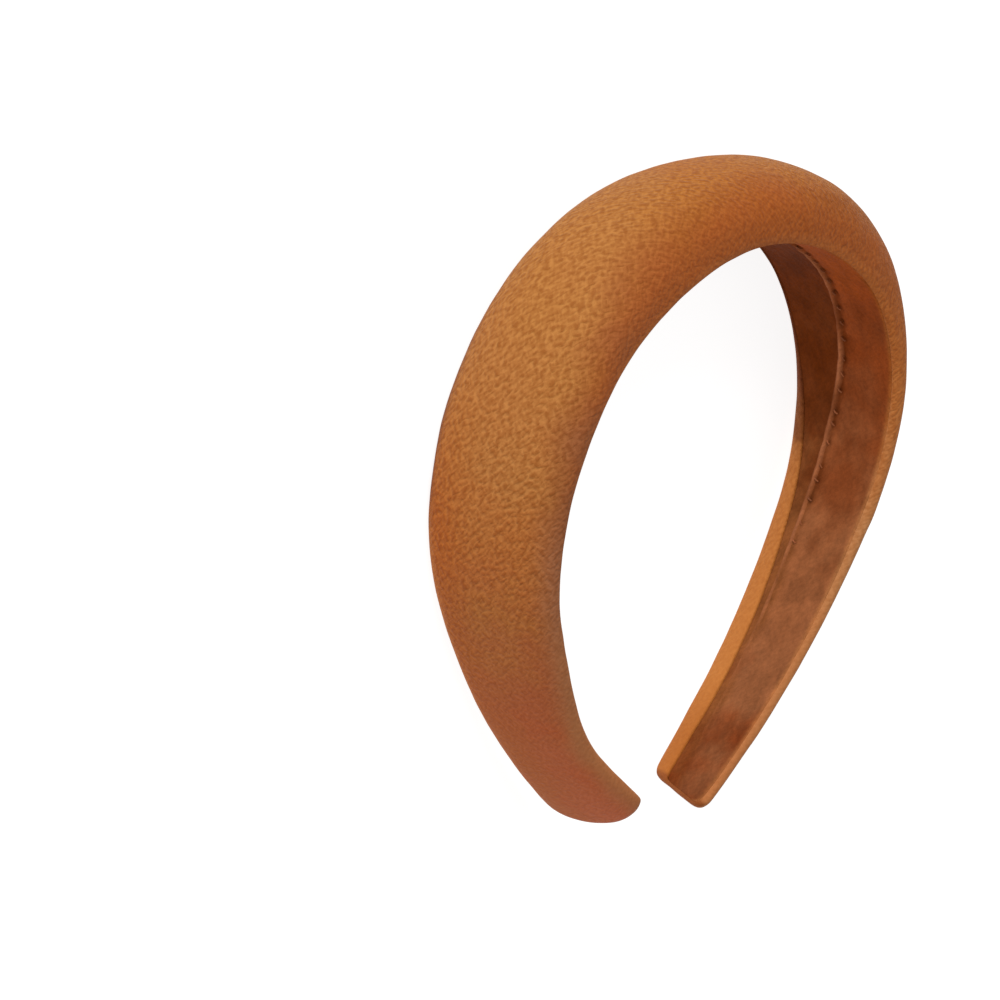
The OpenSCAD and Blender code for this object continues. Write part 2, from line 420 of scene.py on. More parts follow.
# how many points up the dome the front edge's painted shade reaches, at shares of the way to a tip; on the
# right leg that band is painted light
ROLL_ALONG, ROLL_REACH = (0, 0.15, 0.25, 0.4, 0.55, 0.75), (5.6, 5.2, 4.2, 3.6, 3.2, 3.8)
RIM_POINTS, HEAD_POINTS, BACK_POINTS = 1.5, 2.0, 4.0
RIM_LEN, RIM_FADE = 2.4, 0.8
# height in metres, scale and seed of the cloth's own fine waves
COVER_WAVES = ((0.00010, 70, 1), (0.00006, 190, 2))


def drawn_tight(obj, start, pin):
    """Presses the loose cloth onto its padding, and returns its points after the last frame."""
    scene = bpy.context.scene
    set_points(obj.data, start)
    group = obj.vertex_groups.new(name="held")
    for i, w in enumerate(pin):
        if w > 0:
            group.add([i], float(w), "REPLACE")
    mod = obj.modifiers.new("padding", "CLOTH")
    for name, value in CLOTH.items():
        setattr(mod.settings, name, value)
    mod.settings.effector_weights.gravity = 0
    mod.settings.vertex_group_mass = "held"
    mod.collision_settings.use_collision = False
    mod.collision_settings.use_self_collision = False
    mod.point_cache.frame_start, mod.point_cache.frame_end = 1, SIM_FRAMES
    for f in range(1, SIM_FRAMES + 1):
        scene.frame_set(f)
    done = obj.evaluated_get(bpy.context.evaluated_depsgraph_get())
    after = vectors_of(done.data, "co").copy()
    obj.modifiers.remove(mod)
    obj.vertex_groups.clear()
    scene.frame_set(1)
    return after


def smoothed_along(grid, reach):
    """A grid of values by ring, smoothed from ring to ring with a soft window of that reach."""
    k = np.arange(-3 * reach, 3 * reach + 1)
    window = np.exp(-(k / reach) ** 2 / 2)
    padded = np.pad(grid, ((len(k) // 2, len(k) // 2), (0, 0)), mode="edge")
    rows = [np.convolve(padded[:, j], window / window.sum(), "valid") for j in range(grid.shape[1])]
    return np.stack(rows, 1)


def add_unevenness(obj, dist, n_ring):
    """Gives the cover the unevenness along the band that cloth has when it is drawn over padding."""
    shape, inward = vectors_of(obj.data, "co"), vectors_of(obj.data, "normal")
    ring_no = np.arange(n_ring)
    held = CREASE_POINTS + 1
    free = ((ring_no >= held) & (ring_no < n_ring - held)).astype(float)[None]
    free = (free * np.clip((HALF_LEN - dist - SIM_STOP) / SIM_FADE, 0, 1)[:, None]).ravel()
    after = drawn_tight(obj, shape - inward * (SIM_LOOSE * free)[:, None], 1 - free)
    moved = ((after - shape) * inward).sum(1).reshape(len(dist), n_ring)
    calm = np.interp(dist / HALF_LEN, CALM_ALONG, CALM_SHARE)[:, None]
    relief = ((moved - smoothed_along(moved, SIM_EVEN)) * calm).ravel() * free
    set_points(obj.data, shape + inward * np.clip(relief * SIM_GAIN, -SIM_CAP, SIM_CAP)[:, None])


def mark_edges(mesh, dist, n_ring):
    """Point values for the tones of the rolled edges, which carry painted light and shade, and of the tips'
    ends, from 0 to 1.
    """
    ring_no = np.arange(n_ring)
    up_dome = np.minimum(ring_no, n_ring - 1 - ring_no) - CREASE_POINTS - len(ROLL_TURNS)
    front_part = (ring_no < n_ring // 2).astype(float)
    reach = np.interp(dist / HALF_LEN, ROLL_ALONG, ROLL_REACH)
    rolled = np.clip(1 - up_dome[None] / (2 * reach[:, None]), 0, 1)
    under_edge = np.clip(-(up_dome + 1.0) / RIM_POINTS, 0, 1)
    head_side = np.clip(1 - (up_dome + 1.0) / HEAD_POINTS, 0, 1)
    back_edge = np.clip(1 - up_dome / BACK_POINTS, 0, 1)
    at_tip = np.clip((dist - HALF_LEN + RIM_LEN) / RIM_FADE, 0, 1)[:, None]
    every = np.ones_like(rolled)
    add_point_values(mesh, "front_roll", rolled * front_part)
    add_point_values(mesh, "front_rim", under_edge * front_part * every)
    add_point_values(mesh, "tip_rim", head_side * at_tip)
    add_point_values(mesh, "back_roll", back_edge * (1 - front_part) * every)


def padded_cover():
    rings, along, girth, dist = sewn_rings(SIM_STEP)
    obj = grid_mesh("cover_velvet", rings, along, girth)
    n_ring = rings.shape[1]
    add_unevenness(obj, dist, n_ring)
    mark_edges(obj.data, dist, n_ring)
    sub = obj.modifiers.new("smooth", "SUBSURF")
    sub.levels = sub.render_levels = 2
    fine = plain_mesh(obj)
    obj.modifiers.clear()
    obj.data = fine
    co, no = vectors_of(fine, "co"), vectors_of(fine, "normal")
    set_points(fine, co + no * waves(co, COVER_WAVES)[:, None])
    fine.flip_normals()
    return obj


# The inner facing and its seam

# Lengths are in mm, and a shade, a dip or a rise is the most that its form reaches
STITCH_FIRST, STITCH_PITCH, STITCH_WANDER = 2.0, 5.0, 1.2
STITCH_DEEP = (0.15, 0.9)
SEAM_SOFT_W = 1.0
# the seam grows faint on its way down each leg
SEAM_FAINT, FAINT_FROM, FAINT_LEN = 0.16, 162.0, 78.0
# the sewn line lies this many seam widths in front of the seam's middle
LINE_ASIDE = 1.25
LINE_SHADE, LINE_SHADE_W, LINE_DIP, LINE_DIP_W = 0.28, 0.55, 0.22, 0.9
PIT_SHADE, PIT_SHADE_LEN, PIT_SHADE_W = 0.75, 1.0, 0.75
PIT_DIP, PIT_LEN, PIT_W = 0.65, 1.1, 0.6
PUCKER_DIP, PUCKER_W = 0.12, 4.0
PUCKER_RISE, PUCKER_AT, PUCKER_LEN = 0.10, 2.4, 1.0
# the facing's face: hollow across, higher in front, its edges tucked into the creases
FACING_DISH, FRONT_LIFT = 0.3, 0.3
FACING_STEP, FACING_COLUMNS, FACING_CLOSE = 0.9, 40, 8
EDGE_CLOSER = 0.35
FRONT_TUCK, BACK_TUCK, TUCK_W, TUCK_STEEP = 0.12, 0.85, 0.55, 0.999
FRONT_LAP, BACK_SHORT = 0.25, 0.05
CRISP_FROM, CRISP_AT = 0.44, 0.56
FACING_WAVES = ((0.13, 130, 4), (0.08, 300, 5), (0.03, 700, 6))
# tones: how wide the change from back to front is, and how far the front lap's tone reaches
SIDE_BLEND = 2.5
LAP_SHARE, LAP_REACH, LAP_POWER = 0.75, 1.6, 1.5

rng = np.random.default_rng(7)
stitch_at = np.arange(STITCH_FIRST, SEAM_STOP - STITCH_FIRST, STITCH_PITCH)
stitch_at = stitch_at + rng.uniform(-STITCH_WANDER, STITCH_WANDER, len(stitch_at))
stitch_deep = rng.uniform(*STITCH_DEEP, len(stitch_at))


def seam_across(d):
    """The seam's place across the band, from its share of the way between the two creases."""
    back, front = crease_w(d, "back"), crease_w(d, "front")
    return (front - back + column(d, "seam") * (front + back)) / 2


def off_line(dd, across):
    """How far in front of the sewn line each point of the rings is."""
    return across - seam_across(dd)[:, None] - SEAM_SOFT_W * LINE_ASIDE


def seam_strength(d):
    """How clearly the seam shows: 1 over the crown, and SEAM_FAINT far down the legs."""
    run = np.clip((FAINT_FROM - np.asarray(d, float)) / FAINT_LEN, 0, 1)
    return SEAM_FAINT + (1 - SEAM_FAINT) * run ** 2 * (3 - 2 * run)


def pits(dd, across):
    """How deep in shade the cloth is, from 0 to 1, in the crease and at the stitches beside the seam."""
    beside = off_line(dd, across)
    strong = seam_strength(dd)[:, None]
    shade = LINE_SHADE * strong * np.exp(-(beside / LINE_SHADE_W) ** 2)
    for at, deep in zip(stitch_at, stitch_deep):
        run = (dd - at)[:, None]
        near = np.exp(-(run / PIT_SHADE_LEN) ** 2 - (beside / PIT_SHADE_W) ** 2)
        shade = shade + PIT_SHADE * deep * strong ** 2 * near
    return np.clip(shade, 0, 1)


def facing_height(dd, across):
    """Height of the facing's face above the head, without its tucked edges, for rings dd."""
    half = np.where(across > 0, crease_w(dd, "front")[:, None], crease_w(dd, "back")[:, None])
    strong = seam_strength(dd)[:, None]
    lift = FRONT_LIFT * np.clip(across / half, 0, 1) ** 2
    height = FACING_SINK - FACING_DISH * (1 - (across / half) ** 2) - lift
    # the cloth dips on the front side of the seam, deepest at each stitch, and puckers run off it
    beside = off_line(dd, across)
    height = height + LINE_DIP * strong * np.exp(-(beside / LINE_DIP_W) ** 2)
    aside = np.abs(beside) / PUCKER_W
    for at, deep in zip(stitch_at, stitch_deep):
        run = (dd - at)[:, None]
        here = -(run / PIT_LEN) ** 2
        after = -((run - PUCKER_AT) / PUCKER_LEN) ** 2
        height = height + PIT_DIP * deep * strong ** 2 * np.exp(here - (beside / PIT_W) ** 2)
        height = height + PUCKER_DIP * deep * strong * np.exp(here - aside)
        height = height - PUCKER_RISE * deep * strong * np.exp(after - aside)
    return height


def both_faces(values):
    """A grid of values for the facing's face, repeated for its underside."""
    return np.concatenate([values, values[:, ::-1]], 1)


def tucked(share):
    """How far an edge is turned down, a quarter round from 0 to 1, at shares of its width."""
    return 1 - np.sqrt(1 - share ** 2)


def inner_facing():
    d = stations(FACING_LAST, FACING_CORNER, FACING_STEP, FACING_CLOSE)
    dd, side = both_sides(d)
    cut = corner_cut(dd, FACING_LAST, FACING_CORNER)
    front = (crease_w(dd, "front") + FRONT_LAP - cut)[:, None]
    crisp = np.interp(dd / HALF_LEN, (CRISP_FROM, CRISP_AT), (0, 1))
    back = (crease_w(dd, "back") + FRONT_LAP * (1 - crisp) - BACK_SHORT * crisp - cut)[:, None]
    even = np.linspace(-1, 1, FACING_COLUMNS)[None]
    s = EDGE_CLOSER * np.sin(even * math.pi / 2) + (1 - EDGE_CLOSER) * even
    across = np.where(s > 0, s * front, s * back)
    half = np.where(s > 0, front, back)
    edge = np.clip((np.abs(across) - (half - TUCK_W)) / TUCK_W, 0, TUCK_STEEP)
    end = np.clip(1 - (FACING_LAST - dd)[:, None] / TUCK_W, 0, TUCK_STEEP)
    tuck = np.where(s > 0, FRONT_TUCK, (FRONT_TUCK + (BACK_TUCK - FRONT_TUCK) * crisp)[:, None])
    height = facing_height(dd, across) + tuck * tucked(edge) + FRONT_TUCK * tucked(end)
    low = laid_sheet(dd, side, across, 0 * across + FACING_SINK + FACING_T)
    flat = laid_sheet(dd, side, across, height).reshape(-1, 3)
    height = height + waves(flat, FACING_WAVES).reshape(height.shape) * (1 - np.maximum(edge, end))
    ring = np.concatenate([laid_sheet(dd, side, across, height), low[:, ::-1]], 1)
    obj = grid_mesh("facing_velvet", ring, dd * side * MM, both_faces(across) * MM)
    share = (across - seam_across(dd)[:, None]) / SIDE_BLEND
    add_point_values(obj.data, "front_side", both_faces(share))
    lap = LAP_SHARE * np.clip(1 - (front - across) / LAP_REACH, 0, 1) ** LAP_POWER
    add_point_values(obj.data, "lap", both_faces(lap))
    add_point_values(obj.data, "pit", both_faces(pits(dd, across)))
    obj.data.flip_normals()
    return obj


# the seam's rings, its taper at each end, its form across and its faint stretches
SEAM_STEP, SEAM_SIDES, SEAM_CORNER, SEAM_CLOSE = 0.7, 15, 3.0, 7
SEAM_TAPER, SEAM_LEAST = 6.0, 0.01
SEAM_RISE, SEAM_SKIRT, SEAM_UNDER, SEAM_ROUND = 0.48, 0.22, 0.5, 1.1
FOOT = 1.9
FAINT_WIDTH = 0.75
PULL_LEN = 1.1
ROUGH, SLOW = (260, 8), (75, 9)
# what a stitch's pull, the roughness and the slow wander change of the seam
SEAM_ANSWERS = dict(height=(-0.3, 0.22, 0.3), width=(-0.1, 0.1, 0.15), middle=(0.0, 0.18, 0.25))
# the lighter tone on its ridge, a painted highlight, which is broken up in patches
RIDGE_W, RIDGE_PATCHES, RIDGE_TONE, RIDGE_CHANGE, RIDGE_LEAST = 0.85, (110, 12), 0.75, 1.1, 0.2


def seam_welt():
    d = stations(SEAM_STOP, SEAM_CORNER, SEAM_STEP, SEAM_CLOSE)
    dd, side = both_sides(d)
    strong = seam_strength(dd)
    close = np.sqrt(np.clip((SEAM_STOP - dd) / SEAM_TAPER, SEAM_LEAST, 1))
    pull = np.zeros_like(dd)
    for at, deep in zip(stitch_at, stitch_deep):
        pull = pull + deep * np.exp(-((dd - at) / PULL_LEN) ** 2)
    path = np.stack([dd * side, 0 * dd, 0 * dd], -1) * MM
    moods = (pull, unevenness(path, *ROUGH), unevenness(path, *SLOW))
    high, wide, off = (sum(c * mood for c, mood in zip(SEAM_ANSWERS[what], moods))
                       for what in ("height", "width", "middle"))
    height = (SEAM_H * SEAM_RISE * strong * (1 + high) * close)[:, None]
    width = (SEAM_SOFT_W * (FAINT_WIDTH + (1 - FAINT_WIDTH) * strong) * (1 + wide))[:, None]
    k = np.linspace(-FOOT, FOOT, SEAM_SIDES)[None]
    across = (seam_across(dd) + off)[:, None] + width * k
    out = facing_height(dd, across) + SEAM_SKIRT - (height + SEAM_SKIRT) * np.exp(-k ** 2 * SEAM_ROUND)
    inside = across[:, 1:-1]
    under = laid_sheet(dd, side, inside, facing_height(dd, inside) + SEAM_UNDER)
    ring = np.concatenate([laid_sheet(dd, side, across, out), under[:, ::-1]], 1)

    def all_round(values):
        return np.concatenate([values, values[:, -2:0:-1]], 1)

    obj = grid_mesh("seam_velvet", ring, dd * side * MM, all_round(width * k) * MM)
    share = (across - seam_across(dd)[:, None]) / SIDE_BLEND
    add_point_values(obj.data, "front_side", all_round(share))
    # patches in the ridge's painted highlight
    patches = np.clip(RIDGE_TONE + RIDGE_CHANGE * unevenness(path, *RIDGE_PATCHES), RIDGE_LEAST, 1)
    ridge = np.exp(-(k / RIDGE_W) ** 2) * patches[:, None] * np.sqrt(strong)[:, None]
    add_point_values(obj.data, "ridge", all_round(ridge))
    add_point_values(obj.data, "pit", all_round(pits(dd, across)))
    obj.data.flip_normals()
    return obj


cover, facing, seam = padded_cover(), inner_facing(), seam_welt()


# Stitches: one thread laid at each place of a path

# the thread's length and radius are metres, its slant and wander are radians
THREAD_LEN, THREAD_R = 0.0015, 0.00019
THREAD_SLANT, THREAD_WANDER, THREAD_SPREAD = 0.9, 0.35, 0.3
THREAD_POINTS, THREAD_SIDES, THREAD_SEED = 7, 8, 3
THREAD_ASIDE, THREAD_SUNK, THREAD_SEAT_W = 1.2, 0.12, 16.0
# threads show only where the seam is at least this clear
SEWN_FROM = 0.4
# how far off, in mm, the points lie that give a thread its directions
AHEAD, HEADWARD = 0.5, 1.0
# a Random Value node keeps its least and most float in these two inputs, and gives it in this output
FLOAT_LEAST, FLOAT_MOST, FLOAT_OUT = 2, 3, 1


def socket(tree, name, kind, side, value=None):
    """A named input or output of a node tree, with the value that it starts with."""
    s = tree.interface.new_socket(name, in_out=side, socket_type=kind)
    if value is not None:
        s.default_value = value


def new_node(n, kind, inputs=None, **settings):
    """A new node with its settings, and with fixed values for the inputs named."""
    node = n.new(kind)
    for name, value in settings.items():
        setattr(node, name, value)
    for name, value in (inputs or {}).items():
        node.inputs[name].default_value = value
    return node


def sums(n, link, how, a, b):
    """A Math node's result for two values, each a number or another node's output, worked
    out in the way named. SINE and ABSOLUTE use the first value only."""
    m = new_node(n, "ShaderNodeMath", operation=how)
    for k, v in enumerate((a, b)):
        if isinstance(v, (int, float)):
            m.inputs[k].default_value = v
        else:
            link(v, m.inputs[k])
    return m.outputs[0]


def on_axis(n, link, axis, value):
    """A vector with one value on the axis of that number."""
    v = n.new("ShaderNodeCombineXYZ")
    link(value, v.inputs[axis])
    return v.outputs[0]


def turned_to(n, link, attribute, **settings):
    """A rotation that turns an axis to the direction kept in a point attribute."""
    way = new_node(n, "GeometryNodeInputNamedAttribute", {"Name": attribute}, data_type="FLOAT_VECTOR")
    turn = new_node(n, "FunctionNodeAlignRotationToVector", **settings)
    link(way.outputs["Attribute"], turn.inputs["Vector"])
    return turn


def random_float(n, link, seed):
    node = new_node(n, "FunctionNodeRandomValue", data_type="FLOAT")
    link(seed, node.inputs["Seed"])
    return node


def stitch_tree():
    tree = bpy.data.node_groups.new("stitches_on_path", "GeometryNodeTree")
    socket(tree, "Geometry", "NodeSocketGeometry", "INPUT")
    socket(tree, "Stitch length", "NodeSocketFloat", "INPUT", THREAD_LEN)
    socket(tree, "Thread radius", "NodeSocketFloat", "INPUT", THREAD_R)
    socket(tree, "Slant", "NodeSocketFloat", "INPUT", THREAD_SLANT)
    socket(tree, "Size spread", "NodeSocketFloat", "INPUT", THREAD_SPREAD)
    socket(tree, "Seed", "NodeSocketInt", "INPUT", THREAD_SEED)
    socket(tree, "Thread", "NodeSocketMaterial", "INPUT")
    socket(tree, "Geometry", "NodeSocketGeometry", "OUTPUT")
    n, link = tree.nodes, tree.links.new
    given, result = n.new("NodeGroupInput").outputs, n.new("NodeGroupOutput").inputs
    line = new_node(n, "GeometryNodeCurvePrimitiveLine", mode="DIRECTION")
    line.inputs["Direction"].default_value = (1, 0, 0)
    link(given["Stitch length"], line.inputs["Length"])
    link(on_axis(n, link, 0, sums(n, link, "MULTIPLY", given["Stitch length"], -0.5)), line.inputs["Start"])
    fine = new_node(n, "GeometryNodeResampleCurve", {"Count": THREAD_POINTS})
    link(line.outputs[0], fine.inputs["Curve"])
    # the thread arches: its middle stands out and its ends dip into the cloth
    factor = n.new("GeometryNodeSplineParameter")
    angle = sums(n, link, "MULTIPLY", factor.outputs["Factor"], math.pi)
    arch = sums(n, link, "MULTIPLY", sums(n, link, "SINE", angle, 0.0), given["Thread radius"])
    bow = n.new("GeometryNodeSetPosition")
    link(fine.outputs[0], bow.inputs["Geometry"])
    link(on_axis(n, link, 2, arch), bow.inputs["Offset"])
    ring = new_node(n, "GeometryNodeCurvePrimitiveCircle", {"Resolution": THREAD_SIDES})
    link(given["Thread radius"], ring.inputs["Radius"])
    tube = new_node(n, "GeometryNodeCurveToMesh", {"Fill Caps": True})
    link(bow.outputs[0], tube.inputs["Curve"])
    link(ring.outputs[0], tube.inputs["Profile Curve"])
    # each thread's Z faces the head and its X runs along the seam, then it is turned by its slant
    upright = turned_to(n, link, "facing", axis="Z")
    ahead = turned_to(n, link, "heading", axis="X", pivot_axis="Z")
    link(upright.outputs[0], ahead.inputs["Rotation"])
    wander = random_float(n, link, given["Seed"])
    wander.inputs[FLOAT_LEAST].default_value = -THREAD_WANDER
    wander.inputs[FLOAT_MOST].default_value = THREAD_WANDER
    slant = sums(n, link, "ADD", given["Slant"], wander.outputs[FLOAT_OUT])
    spin = new_node(n, "FunctionNodeRotateRotation", rotation_space="LOCAL")
    link(ahead.outputs[0], spin.inputs["Rotation"])
    link(on_axis(n, link, 2, slant), spin.inputs["Rotate By"])
    size = random_float(n, link, given["Seed"])
    link(sums(n, link, "SUBTRACT", 1.0, given["Size spread"]), size.inputs[FLOAT_LEAST])
    size.inputs[FLOAT_MOST].default_value = 1.0
    put = n.new("GeometryNodeInstanceOnPoints")
    link(given["Geometry"], put.inputs["Points"])
    link(tube.outputs[0], put.inputs["Instance"])
    link(spin.outputs[0], put.inputs["Rotation"])
    link(size.outputs[FLOAT_OUT], put.inputs["Scale"])
    real = n.new("GeometryNodeRealizeInstances")
    link(put.outputs[0], real.inputs[0])
    paint = n.new("GeometryNodeSetMaterial")
    link(real.outputs[0], paint.inputs["Geometry"])
    link(given["Thread"], paint.inputs["Material"])
    link(paint.outputs[0], result[0])
    return tree


def stitches(thread):
    d = stitch_at[seam_strength(stitch_at) > SEWN_FROM]
    dd, side = np.concatenate([d, d]), np.concatenate([np.ones(len(d)), -np.ones(len(d))])
    ac = seam_across(dd) + SEAM_SOFT_W * THREAD_ASIDE
    base = FACING_SINK - FACING_DISH * (1 - (ac / THREAD_SEAT_W) ** 2) - THREAD_SUNK
    at = laid(in_space(dd, side, ac, base))
    ahead = laid(in_space(dd + AHEAD, side, ac, base)) - laid(in_space(dd - AHEAD, side, ac, base))
    headward = laid(in_space(dd, side, ac, base - HEADWARD)) - at
    mesh = bpy.data.meshes.new("stitch_places")
    mesh.from_pydata(at.tolist(), [], [])
    for name, way in (("heading", ahead), ("facing", headward)):
        way = way / np.linalg.norm(way, axis=1)[:, None]
        layer = mesh.attributes.new(name, "FLOAT_VECTOR", "POINT")
        layer.data.foreach_set("vector", way.astype(np.float32).ravel())
    obj = new_object("seam_stitches", mesh)
    tree = stitch_tree()
    mod = obj.modifiers.new("stitches", "NODES")
    mod.node_group = tree
    for item in tree.interface.items_tree:
        if item.item_type == "SOCKET" and item.in_out == "INPUT" and item.name == "Thread":
            mod[item.identifier] = thread
    made = plain_mesh(obj)
    obj.modifiers.clear()
    obj.data = made
    smooth_shaded(made)
    return obj


# Materials

def nap_group():
    """Crumpled short pile in the cloth's own map: Relief from 0, in a valley, to 1, on a ridge."""
    g = bpy.data.node_groups.new("velvet_nap", "ShaderNodeTree")
    socket(g, "Map", "NodeSocketVector", "INPUT")
    socket(g, "Grain scale", "NodeSocketFloat", "INPUT", 1070.0)
    socket(g, "Fuzz scale", "NodeSocketFloat", "INPUT", 3200.0)
    socket(g, "Fuzz share", "NodeSocketFloat", "INPUT", 0.1)
    socket(g, "Relief", "NodeSocketFloat", "OUTPUT")
    n, link = g.nodes, g.links.new
    given, result = n.new("NodeGroupInput").outputs, n.new("NodeGroupOutput").inputs
    crests = []
    for lie, long, narrow in NAP_LIES:
        turn = new_node(n, "ShaderNodeMapping", vector_type="TEXTURE")
        turn.inputs["Rotation"].default_value = (0, 0, math.radians(lie))
        turn.inputs["Scale"].default_value = (long, narrow, 1.0)
        link(given["Map"], turn.inputs["Vector"])
        worm = new_node(n, "ShaderNodeTexNoise", NAP_WORM, noise_dimensions="2D")
        link(turn.outputs[0], worm.inputs["Vector"])
        link(given["Grain scale"], worm.inputs["Scale"])
        crests.append(ranged(n, link, worm.outputs["Fac"], *NAP_CREST))
    weave = new_node(n, "ShaderNodeMix", {"Factor": NAP_SECOND})
    link(crests[0], weave.inputs["A"])
    link(crests[1], weave.inputs["B"])
    fuzz = new_node(n, "ShaderNodeTexNoise", {"Detail": 1.0}, noise_dimensions="2D")
    link(given["Map"], fuzz.inputs["Vector"])
    link(given["Fuzz scale"], fuzz.inputs["Scale"])
    mix = n.new("ShaderNodeMix")
    link(given["Fuzz share"], mix.inputs["Factor"])
    link(weave.outputs["Result"], mix.inputs["A"])
    link(fuzz.outputs["Fac"], mix.inputs["B"])
    link(mix.outputs["Result"], result["Relief"])
    return g


def stroked_group():
    """Slow changes of tone, as where the pile has been stroked, from 0 to 1."""
    g = bpy.data.node_groups.new("stroked_pile", "ShaderNodeTree")
    socket(g, "Place", "NodeSocketVector", "INPUT")
    socket(g, "Patch scale", "NodeSocketFloat", "INPUT", 45.0)
    socket(g, "Tone", "NodeSocketFloat", "OUTPUT")
    n, link = g.nodes, g.links.new
    given, result = n.new("NodeGroupInput").outputs, n.new("NodeGroupOutput").inputs
    patches = new_node(n, "ShaderNodeTexNoise", {"Detail": 3.0, "Roughness": 0.55})
    link(given["Place"], patches.inputs["Vector"])
    link(given["Patch scale"], patches.inputs["Scale"])
    link(ranged(n, link, patches.outputs["Fac"], *STROKED, soft=True), result["Tone"])
    return g


def new_material(name):
    mat = bpy.data.materials.new(name)
    mat.use_nodes = True
    tree = mat.node_tree
    return mat, tree.nodes, tree.links.new, tree.nodes["Principled BSDF"]


def velvet_shader(shader, gloss):
    shader.inputs["Roughness"].default_value = VELVET_ROUGHNESS
    shader.inputs["Specular IOR Level"].default_value = gloss


def colour_ramp(n, link, place, stops):
    ramp = n.new("ShaderNodeValToRGB")
    points = ramp.color_ramp.elements
    while len(points) < len(stops):
        points.new(0.5)
    for k, (at, colour) in enumerate(stops):
        points[k].position = at
        points[k].color = (*colour, 1)
    link(place, ramp.inputs["Fac"])
    return ramp.outputs["Color"]


def ranged(n, link, value, low, high, to_low=0.0, to_high=1.0, soft=False):
    """A value brought from one range to another and kept inside it."""
    r = n.new("ShaderNodeMapRange")
    if soft:
        r.interpolation_type = "SMOOTHSTEP"
    r.inputs["From Min"].default_value, r.inputs["From Max"].default_value = low, high
    r.inputs["To Min"].default_value, r.inputs["To Max"].default_value = to_low, to_high
    link(value, r.inputs["Value"])
    return r.outputs["Result"]


def product(n, link, *values):
    """Values multiplied with each other."""
    result = values[0]
    for v in values[1:]:
        result = sums(n, link, "MULTIPLY", result, v)
    return result


def mixed(n, link, factor, a, b, how="MIX"):
    """Two colours mixed. The factor and the colours are constants or other nodes' outputs."""
    m = new_node(n, "ShaderNodeMix", data_type="RGBA", blend_type=how)
    for name, v in (("Factor", factor), ("A", a), ("B", b)):
        if isinstance(v, tuple):
            m.inputs[name].default_value = (*v, 1)
        elif isinstance(v, float):
            m.inputs[name].default_value = v
        else:
            link(v, m.inputs[name])
    return m.outputs["Result"]


def times(n, link, tone, shade):
    """A tone darkened or lightened by a shade."""
    return mixed(n, link, 1.0, tone, shade, "MULTIPLY")


def point_attribute(n, name):
    return new_node(n, "ShaderNodeAttribute", attribute_name=name).outputs["Fac"]


def band_map(n, link):
    """The cloth's map, its two values, and the share of the way from the crown to a tip."""
    band = new_node(n, "ShaderNodeUVMap", uv_map="band").outputs[0]
    split = n.new("ShaderNodeSeparateXYZ")
    link(band, split.inputs[0])
    dist = sums(n, link, "ABSOLUTE", split.outputs["X"], 0.0)
    share = ranged(n, link, dist, 0, HALF_LEN * MM)
    return band, split.outputs["X"], split.outputs["Y"], share


def grouped(n, link, tree, vector_name, vector, **values):
    """A group's outputs, fed with a vector and with its own values."""
    g = new_node(n, "ShaderNodeGroup", node_tree=tree)
    for name, v in values.items():
        g.inputs[name.replace("_", " ")].default_value = v
    link(vector, g.inputs[vector_name])
    return g.outputs


def stroked(n, link, place, scale):
    return grouped(n, link, STROKED_PILE, "Place", place, Patch_scale=scale)["Tone"]


def patchy(n, link, scale):
    """Stroked patches of about 1/scale metres, on the piece's own coordinates."""
    return stroked(n, link, n.new("ShaderNodeTexCoord").outputs["Object"], scale)


def bumped(n, link, shader, height, depth, strength):
    """Gives a surface the relief of a height, counted inwards."""
    bump = new_node(n, "ShaderNodeBump", {"Strength": strength, "Distance": depth}, invert=True)
    link(height, bump.inputs["Height"])
    link(bump.outputs[0], shader.inputs["Normal"])


# The pile: the turn, length and width of its two lies, and where its crests begin and end
NAP_LIES = ((-47, 1.7, 0.8), (38, 1.5, 0.9))
NAP_WORM = {"Detail": 0.5, "Roughness": 0.5, "Distortion": 0.3}
NAP_CREST, NAP_SECOND = (0.27, 0.73), 0.42
STROKED = (0.3, 0.7)
NAP, STROKED_PILE = nap_group(), stroked_group()
VELVET_ROUGHNESS, COVER_GLOSS, INNER_GLOSS, THREAD_GLOSS = 0.68, 0.16, 0.02, 0.2

# Tones at shares of the way from the crown to a tip
CAMEL = [(0.0, (0.365, 0.122, 0.014)), (0.2, (0.365, 0.141, 0.028)), (0.42, (0.37, 0.139, 0.031)),
         (0.58, (0.375, 0.120, 0.023)), (0.7, (0.365, 0.090, 0.022)), (0.85, (0.40, 0.092, 0.023)),
         (1.0, (0.42, 0.090, 0.022))]
# painted shade: the front roll's dark tone on the crown and the left leg, which turn away from the light
SHADED_FRONT = [(0.0, (0.35, 0.086, 0.010)), (0.25, (0.33, 0.086, 0.016)), (0.45, (0.275, 0.088, 0.027)),
          (0.6, (0.325, 0.119, 0.047)), (0.8, (0.385, 0.142, 0.048)), (1.0, (0.38, 0.130, 0.044))]
# the front rim's tone, painted light where the right leg's front roll faces the lamp; it also tints the lip
# at each front crease and the facing's front lap
RIM = [(0.0, (0.37, 0.100, 0.017)), (0.3, (0.40, 0.116, 0.021)), (0.42, (0.44, 0.146, 0.032)),
       (0.6, (0.46, 0.195, 0.068)), (0.8, (0.46, 0.175, 0.056)), (1.0, (0.45, 0.160, 0.048))]
# painted light and shade on the back roll: dark from the crown to nearly halfway, where the crown shades it,
# then bright orange where the light falls on it
BACK_LIGHT_AND_SHADE = [(0.0, (0.16, 0.034, 0.004)), (0.46, (0.17, 0.040, 0.007)), (0.51, (0.25, 0.075, 0.014)),
                 (0.545, (0.40, 0.135, 0.028)), (0.58, (0.45, 0.155, 0.032)),
                 (0.85, (0.49, 0.172, 0.033)), (1.0, (0.42, 0.13, 0.020))]
